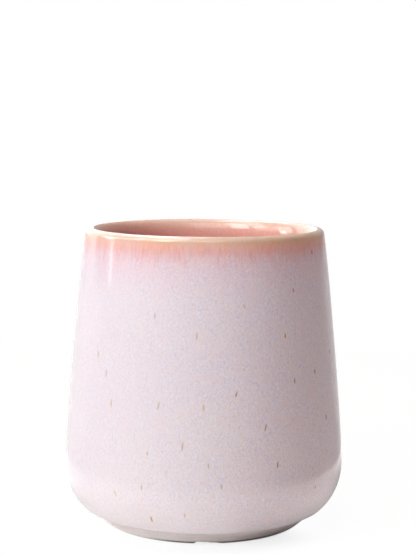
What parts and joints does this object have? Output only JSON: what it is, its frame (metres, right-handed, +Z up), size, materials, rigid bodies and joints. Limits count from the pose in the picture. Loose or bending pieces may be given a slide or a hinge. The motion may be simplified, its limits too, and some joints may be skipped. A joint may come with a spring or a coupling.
{
  "type": "toothbrush holder",
  "caption": "Free-standing glazed stoneware tumbler, slightly tapered with a rounded belly, open at the top to hold toothbrushes.",
  "frame": {"origin": "centre of the foot ring's contact plane, where the cup stands", "axes": "+Z up along the cup's axis; -Y is the front, where the drain notch crosses the foot ring"},
  "size_m": [0.1002, 0.1002, 0.105],
  "materials": {
    "bare_clay": "bare fired stoneware, matte and slightly gritty",
    "outer_glaze": "glossy lilac reactive glaze with a pale fine speckle, rose runs under the rim and small brown iron specks",
    "rim_glaze": "glossy cream glaze that breaks to amber just below the lip",
    "liner_glaze": "glossy rose glaze",
    "underside_glaze": "thin glossy lilac glaze"
  },
  "bodies": {
    "root": {"clay_body": "bare_clay", "outer_glaze": "outer_glaze", "rim_glaze": "rim_glaze", "liner_glaze": "liner_glaze", "underside_glaze": "underside_glaze"}
  },
  "joints": []
}
